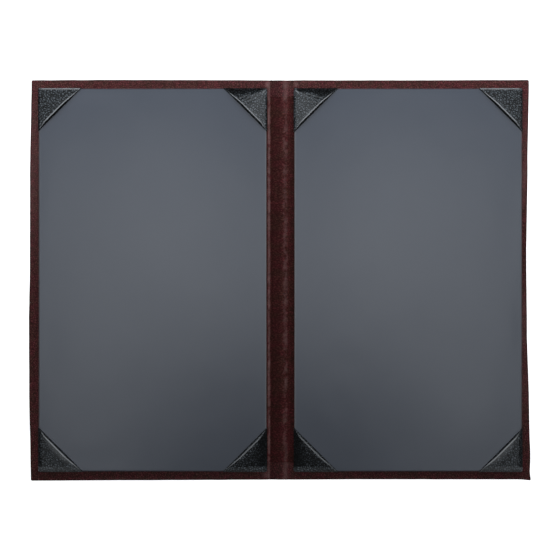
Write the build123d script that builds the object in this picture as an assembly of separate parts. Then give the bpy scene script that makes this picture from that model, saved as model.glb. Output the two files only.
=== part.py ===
from build123d import *
import os
from math import atan2, degrees, sin, sqrt

# A two-panel menu cover, lying open on its back and seen from inside.
# X runs across both panels to the right, Y up towards the head, and Z up off the table.
# The origin is the middle of the spine on the table. Millimetres.

# The case: greyboards wrapped in burgundy leatherette
case_width = 476.0  # both panels open flat, over the leatherette
case_height = 382.0
leather_t = 0.5
board_t = 2.2  # greyboard of the covers and of the spine
spine_board_width = 8.6
joint_gap = 7.6  # bare leatherette between a cover board and the spine board
turn_in = 16.0  # leatherette folded over the boards' edges on to their inner faces
edge_round = 1.0  # the folded leatherette along the edges
corner_round = 2.0  # the four corners, seen from above
board_ease = 0.4  # the boards' worn arrises beside the joints
outer_groove = 0.5  # depth of the pressed joint in the back
glued_width = 2.5  # along the middle of each joint, where the turned-in sheet meets itself
lip_round = 2.2  # where the lining bends off a cover board into the joint
floor_round = 2.9  # where the lining climbs out of the joint on to the spine
mitre_gap = 0.2  # between two turn-ins, or flaps, that meet at 45 degrees

# The lining strip: the same leatherette over the spine and both joints, inside
lining_under = 12.0  # how far it runs under each liner
butt_gap = 0.2  # between the strip's ends and the turn-ins at head and tail

# The liners: one card panel on each cover, faced with grey paper
side_margin = 7.9  # case left bare beside each liner, which leaves room for a 215.9 mm wide sheet
end_margin = 8.9  # and at the head and the tail
inner_margin = 2.0  # cover board left bare beside the joint
liner_shift = 1.2  # both were laid this much right of the middle
liner_board_t = 1.4
facing_t = 0.25
facing_flap = 14.0  # facing folded on to the card's back
liner_edge_round = 0.5
liner_corner_round = 1.0

# The corner pockets: black leatherette folded round each liner's corners
pocket_leg = 40.0
pocket_t = 0.4
pocket_slot = 0.4  # between a liner and the hem, where the sheet goes in
pocket_hem = 5.0  # leatherette folded under along the mouth
pocket_tail = 12.0  # glued behind the liner
pocket_edge_round = 1.0
pocket_corner_round = 1.2
pocket_fold_round = 0.35  # where the pocket turns behind the liner

# Heights above the table, from the back of the case up
board_top = leather_t + board_t
case_top = board_top + leather_t
liner_bottom = case_top + pocket_t
card_bottom = liner_bottom + facing_t
card_top = card_bottom + liner_board_t
liner_top = card_top + facing_t
hem_bottom = liner_top + pocket_slot
pocket_top = hem_bottom + 2 * pocket_t

# Places across the spine
spine_edge = spine_board_width / 2
cover_edge = spine_edge + joint_gap
joint_middle = (spine_edge + cover_edge) / 2
joint_floor = outer_groove + leather_t
liner_edge = cover_edge + inner_margin
liner_width = case_width / 2 - side_margin - liner_edge
liner_height = case_height - 2 * end_margin

# Longer than the case, for the areas that its outline trims
far = case_width
deep = 10.0


def block_between(x_range, y_range, z_range):
    """A plain block between two limits each way."""
    size = [high - low for low, high in (x_range, y_range, z_range)]
    middle = [(low + high) / 2 for low, high in (x_range, y_range, z_range)]
    return Pos(*middle) * Box(*size)


def rounded_block(x_range, y_range, z_range, corner, top, bottom=0.0):
    """A block with rounded upright corners and rounded edges above and below."""
    block = block_between(x_range, y_range, z_range)
    block = fillet(block.edges().filter_by(Axis.Z), corner)
    block = fillet(block.faces().sort_by(Axis.Z)[-1].edges(), top)
    if bottom:
        block = fillet(block.faces().sort_by(Axis.Z)[0].edges(), bottom)
    return block


def other_round(run, rise, one_round):
    """The second radius of an s_bend, from its first."""
    turn = 2 * atan2(abs(rise), run)
    return run / sin(turn) - one_round


def s_bend(start, run, rise, first_round, lift):
    """Two tangent arcs from one level to the next. Lift is the distance above the drawn line."""
    turn = 2 * degrees(atan2(abs(rise), run))
    way = 1 if rise > 0 else -1
    second_round = other_round(run, rise, first_round)
    first = JernArc(start, (1, 0), first_round - way * lift, way * turn)
    second = JernArc(first @ 1, first % 1, second_round + way * lift, -way * turn)
    return [first, second]


def inner_line(lift):
    """The boards' inner faces, down into both joints and over the crowned spine."""
    drop = board_top - joint_floor
    half_gap = joint_gap / 2
    crown_round = other_round(joint_middle, drop, floor_round)
    foot_round = other_round(half_gap, drop, lip_round)
    edges = [Line((-far, board_top + lift), (-cover_edge, board_top + lift))]
    edges += s_bend(edges[-1] @ 1, half_gap, -drop, lip_round, lift)
    edges += s_bend(edges[-1] @ 1, joint_middle, drop, floor_round, lift)
    edges += s_bend(edges[-1] @ 1, joint_middle, -drop, crown_round, lift)
    edges += s_bend(edges[-1] @ 1, half_gap, drop, foot_round, lift)
    edges += [Line(edges[-1] @ 1, (far, board_top + lift))]
    return edges


def outer_line(lift):
    """The back of the case, flat but for the two pressed joints."""
    half_gap = joint_gap / 2
    even_round = other_round(half_gap, outer_groove, 0) / 2
    edges = [Line((-far, lift), (-cover_edge, lift))]
    for side in (-1, 1):
        edges += s_bend(edges[-1] @ 1, half_gap, outer_groove, even_round, lift)
        edges += s_bend(edges[-1] @ 1, half_gap, -outer_groove, even_round, lift)
        end = spine_edge if side < 0 else far
        edges += [Line(edges[-1] @ 1, (end, lift))]
    return edges


def area_below(line):
    """The area under a line across the case, drawn flat with its height as Y."""
    start, end = line[0] @ 0, line[-1] @ 1
    low_start, low_end = (start.X, -deep), (end.X, -deep)
    edges = line + [Line(end, low_end), Line(low_end, low_start), Line(low_start, start)]
    return make_face(edges)


def along_case(area):
    """An area across the case, stood up and run past the head and the tail."""
    return extrude(Plane.XZ * area, amount=case_height, both=True)


def below(line):
    """Everything under a line across the case, for its whole height."""
    return along_case(area_below(line))


def across(x_range):
    """A slice of the case between two places across it."""
    return block_between(x_range, (-case_height, case_height), (-deep, deep))


def mitres(corners, reach, z_range):
    """Thin 45 degree cuts from each corner inwards, where two folded edges meet."""
    cuts = []
    for x, y in corners:
        turn = 45 if x * y > 0 else -45
        length = reach * sqrt(2)
        cut = Box(2 * length, mitre_gap, z_range[1] - z_range[0])
        cuts.append(Pos(x, y, sum(z_range) / 2) * Rot(0, 0, turn) * cut)
    return cuts


def case_space():
    """What lies inside the leatherette: the boards, and the hollows beside them in the joints."""
    half_x, half_y = case_width / 2 - leather_t, case_height / 2 - leather_t
    inner_round = edge_round - leather_t
    space = rounded_block(
        (-half_x, half_x),
        (-half_y, half_y),
        (leather_t, board_top),
        corner_round - leather_t,
        inner_round,
        inner_round,
    )
    space = space & below(inner_line(0))
    for side in (-1, 1):
        middle, glued = side * joint_middle, glued_width / 2
        space = space - across((middle - glued, middle + glued))
    return space - below(outer_line(leather_t))


def leatherette(space):
    """The one sheet round the case, folded over every edge and mitred at the four corners."""
    half_x, half_y = case_width / 2, case_height / 2
    sheet = rounded_block(
        (-half_x, half_x), (-half_y, half_y), (0, case_top), corner_round, edge_round, edge_round
    )
    sheet = (sheet & below(inner_line(leather_t))) - below(outer_line(0))
    open_x, open_y = half_x - turn_in, half_y - turn_in
    window = block_between((-open_x, open_x), (-open_y, open_y), (0, deep))
    sheet = sheet - space - (window - below(inner_line(0)))
    corners = [(x, y) for x in (-open_x, open_x) for y in (-open_y, open_y)]
    for cut in mitres(corners, turn_in - edge_round, (board_top, deep)):
        sheet = sheet - cut
    return sheet


def lining():
    """The strip over the spine and both joints, with a wing under each liner."""
    half_y = case_height / 2 - turn_in - butt_gap
    reach = liner_edge + lining_under
    strip = below(inner_line(leather_t)) - below(inner_line(0))
    across_range = (liner_shift - reach, liner_shift + reach)
    return strip & block_between(across_range, (-half_y, half_y), (0, deep))


def board(space, x_range):
    """A greyboard that fills its part of the case, with eased arrises beside the joints."""
    left, right = x_range
    height = board_top - leather_t
    slab = Pos((left + right) / 2, leather_t + height / 2) * Rectangle(right - left, height)
    area = area_below(inner_line(0)) & slab
    arrises = [v for v in area.vertices() if abs(v.X) < cover_edge + board_ease]
    return space & along_case(fillet(arrises, board_ease))


def liner_range(side):
    """Where the left (-1) or right (1) liner lies across the case."""
    near = liner_shift + side * liner_edge
    return tuple(sorted((near, near + side * liner_width)))


def liner_card(side):
    """The card panel inside a liner."""
    left, right = liner_range(side)
    half_y = liner_height / 2 - facing_t
    inner_round = liner_edge_round - facing_t
    return rounded_block(
        (left + facing_t, right - facing_t),
        (-half_y, half_y),
        (card_bottom, card_top),
        liner_corner_round - facing_t,
        inner_round,
        inner_round,
    )


def liner_facing(side, card):
    """The grey facing, folded round the card and mitred on its back."""
    left, right = liner_range(side)
    half_y = liner_height / 2
    sheet = rounded_block(
        (left, right),
        (-half_y, half_y),
        (liner_bottom, liner_top),
        liner_corner_round,
        liner_edge_round,
        liner_edge_round,
    )
    open_left, open_right = left + facing_flap, right - facing_flap
    open_y = half_y - facing_flap
    window = block_between((open_left, open_right), (-open_y, open_y), (0, card_bottom))
    sheet = sheet - card - window
    middle = (left + right) / 2
    half_x = (open_right - open_left) / 2
    corners = [(x, y) for x in (-half_x, half_x) for y in (-open_y, open_y)]
    reach = facing_flap - liner_edge_round
    for cut in mitres(corners, reach, (0, card_bottom)):
        sheet = sheet - Pos(middle, 0, 0) * cut
    return sheet


def corner_pocket():
    """A pocket with the liner's corner at the origin, and its legs along +X and +Y."""
    mouth = (pocket_leg - 2 * pocket_t) / sqrt(2)
    far_side = 2 * pocket_leg
    # The area across the mouth, whose hem is folded under with a full round
    square = Plane(origin=(0, 0, 0), x_dir=(1, 1, 0), z_dir=(1, -1, 0))
    skin = hem_bottom + pocket_t
    nose = ThreePointArc((mouth - pocket_t, pocket_top), (mouth, skin), (mouth - pocket_t, hem_bottom))
    outline = Polyline(
        (mouth - pocket_t, hem_bottom),
        (mouth, hem_bottom),
        (mouth, 0),
        (-far_side, 0),
        (-far_side, pocket_top),
        (mouth - pocket_t, pocket_top),
    )
    outside = extrude(square * make_face([nose, outline]), amount=far_side, both=True)
    hollow = Polyline(
        (-far_side, liner_bottom),
        (far_side, liner_bottom),
        (far_side, hem_bottom),
        (mouth - pocket_hem, hem_bottom),
        (mouth - pocket_hem, skin),
        (-far_side, skin),
        close=True,
    )
    inside = extrude(square * make_face(hollow), amount=far_side, both=True)
    # The folds along the liner's two edges
    outer_range, inner_range = (-pocket_t, far_side), (0, far_side)
    outside &= rounded_block(
        outer_range,
        outer_range,
        (case_top, pocket_top),
        pocket_corner_round,
        pocket_edge_round,
        pocket_fold_round,
    )
    inside &= rounded_block(
        inner_range,
        inner_range,
        (liner_bottom, skin),
        pocket_corner_round - pocket_t,
        pocket_edge_round - pocket_t,
    )
    between_tails = block_between(
        (pocket_tail, far_side), (pocket_tail, far_side), (0, liner_bottom)
    )
    pocket = outside - inside - between_tails
    reach = pocket_tail - pocket_fold_round
    for cut in mitres([(pocket_tail, pocket_tail)], reach, (0, liner_bottom)):
        pocket = pocket - cut
    return pocket


def placed_pocket(pocket, side, outer, top):
    """The pocket moved to one of a liner's four corners."""
    left, right = liner_range(side)
    at_right = (side > 0) == outer
    if at_right:
        pocket = mirror(pocket, about=Plane.YZ)
    if top:
        pocket = mirror(pocket, about=Plane.XZ)
    x = right if at_right else left
    y = liner_height / 2 * (1 if top else -1)
    return Pos(x, y, 0) * pocket


def build():
    """Every piece by its name."""
    space = case_space()
    sheet = leatherette(space)
    strip = lining()
    pocket = corner_pocket()
    spine_range = (-spine_edge, spine_edge)
    parts = {
        "spine_board": board(space, spine_range),
        "spine_leatherette": sheet & across(spine_range),
        "spine_lining": strip & across(spine_range),
    }
    for name, side in (("left", -1), ("right", 1)):
        cover_range = tuple(sorted((side * cover_edge, side * far)))
        joint_range = tuple(sorted((side * spine_edge, side * cover_edge)))
        card = liner_card(side)
        parts[f"{name}_outer_hinge"] = sheet & across(joint_range)
        parts[f"{name}_inner_hinge"] = strip & across(joint_range)
        parts[f"{name}_cover_board"] = board(space, cover_range)
        parts[f"{name}_cover_leatherette"] = sheet & across(cover_range)
        parts[f"{name}_lining_wing"] = strip & across(cover_range)
        parts[f"{name}_liner_card"] = card
        parts[f"{name}_liner_facing"] = liner_facing(side, card)
        for end, top in (("top", True), ("bottom", False)):
            for place, outer in (("outer", True), ("inner", False)):
                parts[f"{name}_pocket_{end}_{place}"] = placed_pocket(pocket, side, outer, top)
    return parts


os.makedirs("parts", exist_ok=True)
for node, shape in build().items():
    export_step(shape, f"parts/{node}.step")
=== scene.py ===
# Menu cover: the looks of every piece, laid round the packed model

import math
from collections import namedtuple

import bmesh
import bpy
from bpy.props import FloatProperty, FloatVectorProperty, IntProperty, PointerProperty
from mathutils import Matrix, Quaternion, Vector, noise


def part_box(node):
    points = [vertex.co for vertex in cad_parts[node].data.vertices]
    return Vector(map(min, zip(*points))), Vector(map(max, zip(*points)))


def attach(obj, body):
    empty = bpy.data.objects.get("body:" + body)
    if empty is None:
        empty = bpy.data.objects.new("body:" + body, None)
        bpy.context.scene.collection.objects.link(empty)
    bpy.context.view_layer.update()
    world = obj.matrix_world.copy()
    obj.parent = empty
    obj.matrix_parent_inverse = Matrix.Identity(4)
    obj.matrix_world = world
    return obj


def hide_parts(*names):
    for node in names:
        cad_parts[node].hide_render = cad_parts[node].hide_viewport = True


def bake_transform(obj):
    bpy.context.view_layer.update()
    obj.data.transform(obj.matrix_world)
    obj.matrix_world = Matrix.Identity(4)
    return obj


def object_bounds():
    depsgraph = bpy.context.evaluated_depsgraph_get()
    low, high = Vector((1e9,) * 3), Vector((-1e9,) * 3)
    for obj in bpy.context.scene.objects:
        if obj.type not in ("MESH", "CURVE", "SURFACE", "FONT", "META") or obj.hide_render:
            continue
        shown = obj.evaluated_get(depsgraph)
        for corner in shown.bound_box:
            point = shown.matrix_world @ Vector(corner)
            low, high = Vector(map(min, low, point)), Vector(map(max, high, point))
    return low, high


bl_info = {
    "name": "Menu Cover",
    "version": (1, 0, 0),
    "blender": (4, 5, 0),
    "location": "View3D > Sidebar > Menu Cover",
    "description": "A two-panel menu cover with a leatherette case, grey liners and corner pockets",
    "category": "Add Mesh",
}

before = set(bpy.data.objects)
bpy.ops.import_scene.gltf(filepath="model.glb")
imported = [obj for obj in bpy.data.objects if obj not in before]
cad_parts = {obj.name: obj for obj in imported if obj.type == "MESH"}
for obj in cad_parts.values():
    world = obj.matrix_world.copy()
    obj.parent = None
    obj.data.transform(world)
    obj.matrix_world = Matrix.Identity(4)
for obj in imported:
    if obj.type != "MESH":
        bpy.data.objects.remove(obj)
CAD_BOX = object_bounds()
MM = 0.001
SIDES = {"left": -1, "right": 1}
PLACES = {"outer": 1, "inner": -1}
# Points closer than this are merged
WELD = 0.002 * MM
# A finished mesh is shown sharp where it turns by more than this
SHARP_TURN = math.radians(42)
# Points crowd towards a corner by this power
CROWDING = 1.6


def linear(code):
    """A colour written as sRGB hex, as linear light."""
    parts = [int(code[k : k + 2], 16) / 255 for k in (1, 3, 5)]
    return tuple(c / 12.92 if c <= 0.04045 else ((c + 0.055) / 1.055) ** 2.4 for c in parts)


def length(name, text, millimetres):
    """A size that a user may change, given in millimetres."""
    size = millimetres * MM
    return FloatProperty(name=name, description=text, default=size, precision=5, unit="LENGTH")


def angle_size(name, text, degrees):
    """An angle that a user may change, given in degrees."""
    turn = math.radians(degrees)
    return FloatProperty(name=name, description=text, default=turn, subtype="ANGLE")


def strength(name, text, amount):
    """A strength that a user may change."""
    return FloatProperty(name=name, description=text, default=amount)


def colour(name, text, code):
    """A colour that a user may change, given as sRGB hex."""
    shade = linear(code)
    return FloatVectorProperty(
        name=name, description=text, default=shade, size=3, min=0, max=1, subtype="COLOR"
    )


class CaseSizes(bpy.types.PropertyGroup):
    """The wrapped case and its two pressed joints."""

    sheet: length("Sheet", "Thickness of the leatherette", 0.5)
    turn_in: length("Turn-in", "Leatherette folded on to the boards' inner faces", 16.0)
    edge_round: length("Edge round", "Radius of the fold along every edge", 1.0)
    corner_round: length("Corner round", "Radius of the four corners, from above", 1.3)
    top: length("Top", "Height of the turned-in leatherette above the back", 3.2)
    floor: length("Joint floor", "Height of the leatherette in the middle of a joint", 1.5)
    groove: length("Back groove", "Depth of a joint pressed into the back", 0.5)
    spine_edge: length("Spine edge", "Half the spine board's width", 4.3)
    middle: length("Joint middle", "From the spine's middle to a joint's middle", 8.1)
    cover_edge: length("Cover edge", "From the spine's middle to a cover board", 11.9)
    floor_round: length("Joint round", "Radius in the bottom of a joint", 2.4)
    mitre: length("Mitre depth", "Depth of the seam where two turn-ins meet", 0.35)
    # Painted highlights: two pale lines along the spine, on the left joint's lip and the spine's
    # right shoulder, slopes that face the light
    lip_highlight: length("Rubbed lip", "From the spine's middle to the left joint's pale line", 9.1)
    lip_highlight_reach: length("Lip's reach", "How far that line fades each way", 2.7)
    crown_highlight: length("Rubbed crown", "From the spine's middle to its pale right shoulder", 6.6)
    crown_highlight_reach: length("Crown's reach", "How far the shoulder's pale line fades each way", 6.3)
    line_highlight: strength("Line wear", "How rubbed those two lines are on the turn-in", 0.42)
    # Painted shade on the turn-in inside the joints
    painted_joint_shade: strength("Joint shade", "How dark the turn-in is inside a joint", 0.3)
    # Painted shade along the outermost edge
    painted_edge_shade: strength("Edge shade", "How dark the outermost edge is", 0.5)
    sway: length("Edge sway", "How far the folded edges wander", 0.15)
    pucker: length("Pucker", "Height of the puckers at the spine's ends", 0.55)
    # Painted highlight on the puckers
    pucker_highlight: strength("Pucker wear", "How rubbed the puckers are", 0.55)
    ear: length("Corner ear", "How far the right foot corner sticks out", 1.3)
    side_trim: length("Board's side trim", "Cut off a board's outer edge, inside the bows", 2.2)
    end_trim: length("Board's end trim", "Cut off a board's head and tail, inside the bows", 0.8)


class LiningSizes(bpy.types.PropertyGroup):
    """The strip glued over the spine and both joints."""

    length: length("Length", "From head to tail", 349.92)
    under: length("Under a liner", "How far it runs under each liner", 12.0)
    rib_gap: length("Rib spacing", "Between the fine pleats across the spine", 2.6)
    rib: length("Rib height", "Height of the pleats", 0.09)
    wander: strength("Pleat wander", "How unevenly the pleats are spaced", 2.4)
    # Painted highlights on the strip's two lines, and painted shade beside them
    lip_highlight_strength: strength("Lip wear", "How rubbed the left joint's pale line is", 0.95)
    crown_highlight_strength: strength("Crown wear", "How rubbed the spine's right shoulder is", 0.47)
    shade: strength("Shade", "How dark the strip is beside its pale lines", 0.4)
    seed: IntProperty(name="Seed", description="Fixes the pleats' unevenness", default=4)


class LinerSizes(bpy.types.PropertyGroup):
    """The grey facing folded round each card."""

    sheet: length("Facing", "Thickness of the grey facing", 0.25)
    edge_round: length("Edge round", "Radius of the facing's fold", 0.5)
    corner_round: length("Corner round", "Radius of the corners, from above", 1.0)
    flap: length("Flap", "Facing folded on to the card's back", 14.0)
    wave: length("Wave", "Unevenness of the glued facing", 0.1)


class PocketSizes(bpy.types.PropertyGroup):
    """The black corner pockets."""

    mouth: length("Mouth", "From a liner's corner to the mouth's edge", 28.85)
    sheet: length("Sheet", "Thickness of the leatherette", 0.4)
    fold: length("Hem lip", "Width of the rounded lip along the mouth", 2.45)
    end_taper: length("End taper", "Where the lip narrows towards the head or tail edge", 15.0)
    side_taper: length("Side taper", "Where the lip narrows towards the side edge", 6.0)
    lip: length("Hem thickness", "Half the thickness of the folded hem", 0.5)
    # Where a lip's painted highlight ends round its crest; the pale crest line is partly rubbed and
    # partly a painted highlight
    top_highlight_turn: angle_size("Top shine", "Where a head pocket's shine ends round its lip", 18.0)
    foot_highlight_turn: angle_size("Foot shine", "Where a foot pocket's shine ends round its lip", 27.0)
    rubbed: length("Rubbed line", "Width of the paler line along the lip's crest", 0.6)
    hem: length("Hem", "Leatherette folded under along the mouth", 5.0)
    hem_step: length("Hem step", "How far the hem below it lifts the face", 0.16)
    tail: length("Tail", "Leatherette glued behind the liner", 12.0)
    side_run: length("Side run", "Width of the rounded side folds", 2.2)
    side_drop: length("Side drop", "Height of the rounded side folds", 1.5)
    corner_round: length("Corner round", "Radius of the folded corner, from above", 1.6)
    loose: length("Looseness", "How far the side folds stand off the liner's edge", 0.6)
    over: length("Over the liner", "Height of a pocket's face above the liner at its sides", 0.75)
    uneven: length("Unevenness", "Slow waves in a pocket's face", 0.16)
    dimple: length("Dimples", "Closer waves in a pocket's face", 0.1)
    wrinkle: length("Wrinkle", "Height of the highest wrinkle", 0.4)


class Finishes(bpy.types.PropertyGroup):
    """Every colour."""

    # The case's two tones are paler and greyer than the lining's, though it is the same
    # leatherette: a painted sheen
    burgundy: colour("Burgundy", "The case's reddish tone", "#53282a")
    brown: colour("Brown", "The case's brown tone", "#482b27")
    lining: colour("Lining burgundy", "The spine lining's reddish tone", "#502122")
    lining_brown: colour("Lining brown", "The spine lining's brown tone", "#45251f")
    # The pale colour of the painted highlights and sheen on the case and the lining
    rubbed: colour("Rubbed burgundy", "The case where its coating is stretched", "#7b5d5b")
    pocket: colour("Pocket black", "The pockets' leatherette", "#313538")
    # The lips' pale crest colour: partly rubbed and partly a painted highlight
    fold: colour("Worn fold", "Stretched and rubbed leatherette on a fold", "#868889")
    # The facing's folded edges: rubbed a little paler, and partly a painted highlight
    rim: colour("Liner rim", "The facing on its folded edges", "#4c4b4d")
    facing: colour("Slate grey", "The liners' facing", "#353b45")
    board: colour("Greyboard", "The raw boards inside the case", "#86817a")
    card: colour("Card", "The raw cards inside the liners", "#77746f")


class StageSizes(bpy.types.PropertyGroup):
    """The camera, the floor and the lamps."""

    height: length("Camera height", "Camera above the cover", 2200.0)
    width: length("View width", "Width of the picture at the cover", 535.8)
    right: length("Camera right", "Camera right of the spine", 1.44)
    up: length("Camera up", "Camera towards the head", -0.48)
    floor_drop: length("Floor drop", "From the cover down to the floor", 250.0)
    floor_reach: length("Floor reach", "From the cover to the wall round the floor", 20000.0)
    wall: length("Wall", "Height of the wall round the floor", 5000.0)
    ambient: strength("Ambient", "The room's own light", 0.079)
    glow: strength("Floor glow", "How much of the floor's white is its own", 0.9)
    floor: colour("Floor", "The floor's pale grey", "#e5e5e5")
    lamp: colour("Lamp", "The lamps' slightly cool white", "#f5f9ff")


def add(tree, kind, inputs=None, output=0, **settings):
    """Adds a node, its settings and its linked or set inputs, and gives one of its outputs."""
    made = tree.nodes.new(kind)
    for name, value in settings.items():
        setattr(made, name, value)
    for socket, value in (inputs or {}).items():
        if isinstance(value, bpy.types.NodeSocket):
            tree.links.new(value, made.inputs[socket])
        else:
            made.inputs[socket].default_value = value
    return made.outputs[output] if made.outputs else None


def material_tree(name):
    """A new material with an empty node tree."""
    made = bpy.data.materials.new(name)
    made.use_nodes = True
    made.node_tree.nodes.clear()
    return made, made.node_tree


def grained_leatherette(name, tones, fold, grain, relief, roughness, shine, contrast, stretch=1):
    """Coated cloth embossed with a pebbled grain, which the eye reads as a broken, dull sheen.

    Patches drift between the two tones. Its vertex attribute is 1 where the coating is pale and
    shiny, on rubbed folds and under painted highlights and sheen, and -1 where shade is painted
    dark and matt. The contrast is how light the creases between the pebbles are, and the pebbles'
    tops."""
    made, tree = material_tree(name)
    place = add(tree, "ShaderNodeTexCoord", output="Object")
    place = add(tree, "ShaderNodeMapping", {"Vector": place, "Scale": (1 / stretch, 1, 1)})
    worn = add(tree, "ShaderNodeAttribute", output="Fac", attribute_name="worn")
    # Pebbles: the cells' edges are the creases between them
    wide = {"Vector": place, "Scale": 0.6 / grain, "Detail": 1.0}
    jitter = add(tree, "ShaderNodeTexNoise", wide, output="Color")
    bent = {0: jitter, 1: (grain, grain, grain), 2: place}
    bent = add(tree, "ShaderNodeVectorMath", bent, operation="MULTIPLY_ADD")
    cells = {"Vector": bent, "Scale": 1 / grain}
    pebbles = add(tree, "ShaderNodeTexVoronoi", cells, feature="DISTANCE_TO_EDGE")
    dome = {"Value": pebbles, "From Min": 0.0, "From Max": 0.32}
    rounded = add(tree, "ShaderNodeMapRange", dome, interpolation_type="SMOOTHSTEP")
    pores = {"Vector": place, "Scale": 2.2 / grain, "Detail": 2.0}
    pores = add(tree, "ShaderNodeTexNoise", pores)
    height = {0: pores, 1: 0.6, 2: rounded}
    height = add(tree, "ShaderNodeMath", height, operation="MULTIPLY_ADD")
    relieved = add(tree, "ShaderNodeMath", {0: 1.0, 1: worn}, operation="SUBTRACT", use_clamp=True)
    bump = {"Height": height, "Distance": relief, "Strength": relieved}
    bump = add(tree, "ShaderNodeBump", bump)
    # Colour: patches 5 mm wide, darker between the pebbles, and darkened where shade is painted
    drift = {"Vector": place, "Scale": 1 / (5 * MM), "Detail": 4.0}
    drift = add(tree, "ShaderNodeTexNoise", drift)
    blend = {"Value": drift, "From Min": 0.38, "From Max": 0.62}
    blend = add(tree, "ShaderNodeMapRange", blend)
    body = {0: blend, 6: (*tones[0], 1), 7: (*tones[1], 1)}
    body = add(tree, "ShaderNodeMix", body, output=2, data_type="RGBA")
    # Painted shade: a negative value darkens the colour down to a tenth
    shade = {"Value": worn, "From Min": -1.0, "From Max": 0.0, "To Min": 0.1}
    shade = add(tree, "ShaderNodeMapRange", shade)
    low, high = contrast
    depth = {"Value": height, "From Min": 0.2, "From Max": 1.4, "To Min": low, "To Max": high}
    depth = add(tree, "ShaderNodeMapRange", depth)
    depth = add(tree, "ShaderNodeMath", {0: depth, 1: shade}, operation="MULTIPLY")
    shaded = add(tree, "ShaderNodeVectorMath", {0: body, "Scale": depth}, operation="SCALE")
    # A positive value blends to the pale colour, for rubbed folds and painted highlights
    rubbed = {0: worn, 6: shaded, 7: (*fold, 1)}
    rubbed = add(tree, "ShaderNodeMix", rubbed, output=2, data_type="RGBA")
    # Gloss: the pebbles' tops are smoother, a pale fold more so, and painted shade is matt
    tops = {"Value": rounded, "To Min": roughness + 0.12, "To Max": roughness - 0.04}
    gloss = add(tree, "ShaderNodeMapRange", tops)
    gloss = {0: worn, 2: gloss, 3: 0.6 * roughness}
    gloss = add(tree, "ShaderNodeMix", gloss, data_type="FLOAT")
    gloss = add(tree, "ShaderNodeMix", {0: shade, 2: 0.95, 3: gloss}, data_type="FLOAT")
    coat = {"Base Color": rubbed, "Roughness": gloss, "Normal": bump, "IOR": 1.5}
    coat = add(tree, "ShaderNodeBsdfPrincipled", {**coat, "Specular IOR Level": shine})
    add(tree, "ShaderNodeOutputMaterial", {"Surface": coat})
    return made


def satin_facing(name, shade, rim):
    """Coated paper with a satin face: nearly flat, with a soft, even sheen and a faint fibre.

    Its vertex attribute is 1 on the folded edges, which are rubbed a little paler and carry a
    painted highlight."""
    made, tree = material_tree(name)
    place = add(tree, "ShaderNodeTexCoord", output="Object")
    # Clouds 45 mm wide in the coating, over a fibre 1.1 mm long
    cloud = {"Vector": place, "Scale": 1 / (45 * MM), "Detail": 3.0}
    cloud = add(tree, "ShaderNodeTexNoise", cloud)
    fibre = {"Vector": place, "Scale": 1 / (1.1 * MM), "Detail": 3.0}
    fibre = add(tree, "ShaderNodeTexNoise", fibre)
    level = add(tree, "ShaderNodeMapRange", {"Value": cloud, "To Min": 0.94, "To Max": 1.06})
    speck = add(tree, "ShaderNodeMapRange", {"Value": fibre, "To Min": 0.93, "To Max": 1.07})
    both = add(tree, "ShaderNodeMath", {0: level, 1: speck}, operation="MULTIPLY")
    worn = add(tree, "ShaderNodeAttribute", output="Fac", attribute_name="worn")
    tone = {0: worn, 6: (*shade, 1), 7: (*rim, 1)}
    tone = add(tree, "ShaderNodeMix", tone, output=2, data_type="RGBA")
    body = add(tree, "ShaderNodeVectorMath", {0: tone, "Scale": both}, operation="SCALE")
    bump = add(tree, "ShaderNodeBump", {"Height": fibre, "Distance": 0.02 * MM, "Strength": 0.6})
    gloss = {"Value": cloud, "To Min": 0.215, "To Max": 0.235}
    gloss = add(tree, "ShaderNodeMapRange", gloss)
    satin = {"Base Color": body, "Roughness": gloss, "Normal": bump, "IOR": 1.5}
    satin = add(tree, "ShaderNodeBsdfPrincipled", {**satin, "Specular IOR Level": 0.2})
    add(tree, "ShaderNodeOutputMaterial", {"Surface": satin})
    return made


def pulp_board(name, shade):
    """Raw pulp board: matt, with short pale and dark fibres about 1.5 mm long."""
    made, tree = material_tree(name)
    place = add(tree, "ShaderNodeTexCoord", output="Object")
    fibre = {"Vector": place, "Scale": 1 / (1.5 * MM), "Detail": 5.0, "Distortion": 1.0}
    fibre = add(tree, "ShaderNodeTexNoise", fibre)
    level = add(tree, "ShaderNodeMapRange", {"Value": fibre, "To Min": 0.75, "To Max": 1.2})
    body = add(tree, "ShaderNodeVectorMath", {0: shade, "Scale": level}, operation="SCALE")
    bump = add(tree, "ShaderNodeBump", {"Height": fibre, "Distance": 0.1 * MM, "Strength": 0.7})
    pulp = {"Base Color": body, "Roughness": 0.9, "Normal": bump}
    pulp = add(tree, "ShaderNodeBsdfPrincipled", pulp)
    add(tree, "ShaderNodeOutputMaterial", {"Surface": pulp})
    return made


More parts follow.
